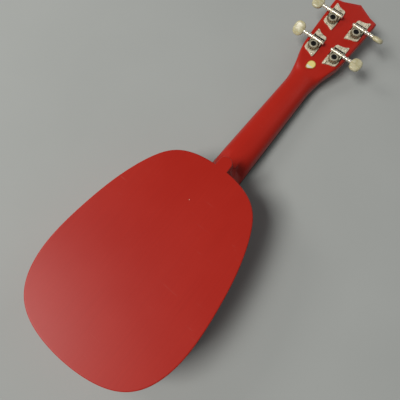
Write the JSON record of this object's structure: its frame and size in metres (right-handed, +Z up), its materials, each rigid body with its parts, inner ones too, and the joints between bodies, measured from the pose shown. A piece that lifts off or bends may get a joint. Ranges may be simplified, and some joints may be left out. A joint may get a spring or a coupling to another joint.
{
  "type": "pineapple ukulele",
  "caption": "Small pineapple-shaped lute with a flat red back, round-backed neck, crown-topped headstock and open-geared worm tuners that turn the string posts.",
  "frame": {"origin": "middle of the instrument's box, on the surface that it lies on face down", "axes": "+Z up out of the back panel, +Y along the neck towards the headstock, +X to the right with the headstock away"},
  "size_m": [0.1718, 0.537, 0.0618],
  "materials": {
    "red_lacquer": "satin red lacquer over wood",
    "bare_wood": "unfinished pale wood",
    "dark_wood": "oiled dark wood",
    "white_plastic": "polished white plastic",
    "fret_metal": "polished nickel silver",
    "nickel": "nickel plate",
    "cream_plastic": "cream pearl plastic",
    "nylon": "clear nylon"
  },
  "bodies": {
    "root": {"back_panel": "red_lacquer", "soundboard": "red_lacquer", "side_left": "red_lacquer", "side_right": "red_lacquer", "neck": "red_lacquer", "neck_block": "bare_wood", "tail_block": "bare_wood", "back_lining_left": "bare_wood", "back_lining_right": "bare_wood", "top_lining_left": "bare_wood", "top_lining_right": "bare_wood", "back_brace_upper": "bare_wood", "back_brace_lower": "bare_wood", "top_brace_upper": "bare_wood", "top_brace_lower": "bare_wood", "bridge_patch": "bare_wood", "bridge": "dark_wood", "fingerboard": "dark_wood", "saddle": "white_plastic", "nut": "white_plastic", "fret_1": "fret_metal", "fret_2": "fret_metal", "fret_3": "fret_metal", "fret_4": "fret_metal", "fret_5": "fret_metal", "fret_6": "fret_metal", "fret_7": "fret_metal", "fret_8": "fret_metal", "fret_9": "fret_metal", "fret_10": "fret_metal", "fret_11": "fret_metal", "fret_12": "fret_metal", "string_g": "nylon", "string_c": "nylon", "string_e": "nylon", "string_a": "nylon", "tuner_plate_g": "nickel", "post_bushing_g": "nickel", "tuner_plate_c": "nickel", "post_bushing_c": "nickel", "tuner_plate_e": "nickel", "post_bushing_e": "nickel", "tuner_plate_a": "nickel", "post_bushing_a": "nickel"},
    "worm_g": {"worm_shaft_g": "nickel", "tuner_button_g": "cream_plastic"},
    "post_g": {"string_post_g": "nickel", "tuner_gear_g": "nickel"},
    "worm_c": {"worm_shaft_c": "nickel", "tuner_button_c": "cream_plastic"},
    "post_c": {"string_post_c": "nickel", "tuner_gear_c": "nickel"},
    "worm_e": {"worm_shaft_e": "nickel", "tuner_button_e": "cream_plastic"},
    "post_e": {"string_post_e": "nickel", "tuner_gear_e": "nickel"},
    "worm_a": {"worm_shaft_a": "nickel", "tuner_button_a": "cream_plastic"},
    "post_a": {"string_post_a": "nickel", "tuner_gear_a": "nickel"}
  },
  "joints": [
    {"name": "button_turn_g", "type": "hinge", "parent": "root", "child": "worm_g", "pos_m": [0.0152, 0.1876, 0.03298], "axis": [1, 0, 0], "continuous": true},
    {"name": "post_turn_g", "type": "hinge", "parent": "root", "child": "post_g", "pos_m": [0.0152, 0.17903, 0.02727], "axis": [0, -0.0698, 0.9976], "continuous": true},
    {"name": "button_turn_c", "type": "hinge", "parent": "root", "child": "worm_c", "pos_m": [0.0174, 0.23349, 0.03619], "axis": [1, 0, 0], "continuous": true},
    {"name": "post_turn_c", "type": "hinge", "parent": "root", "child": "post_c", "pos_m": [0.0174, 0.22492, 0.03047], "axis": [0, -0.0698, 0.9976], "continuous": true},
    {"name": "button_turn_e", "type": "hinge", "parent": "root", "child": "worm_e", "pos_m": [-0.0174, 0.23349, 0.03619], "axis": [-1, 0, 0], "continuous": true},
    {"name": "post_turn_e", "type": "hinge", "parent": "root", "child": "post_e", "pos_m": [-0.0174, 0.22492, 0.03047], "axis": [0, -0.0698, 0.9976], "continuous": true},
    {"name": "button_turn_a", "type": "hinge", "parent": "root", "child": "worm_a", "pos_m": [-0.0152, 0.1876, 0.03298], "axis": [-1, 0, 0], "continuous": true},
    {"name": "post_turn_a", "type": "hinge", "parent": "root", "child": "post_a", "pos_m": [-0.0152, 0.17903, 0.02727], "axis": [0, -0.0698, 0.9976], "continuous": true}
  ],
  "couplings": [
    {"joint": "post_turn_g", "follows": "button_turn_g", "ratio": 0.071429},
    {"joint": "post_turn_c", "follows": "button_turn_c", "ratio": 0.071429},
    {"joint": "post_turn_e", "follows": "button_turn_e", "ratio": 0.071429},
    {"joint": "post_turn_a", "follows": "button_turn_a", "ratio": 0.071429}
  ]
}
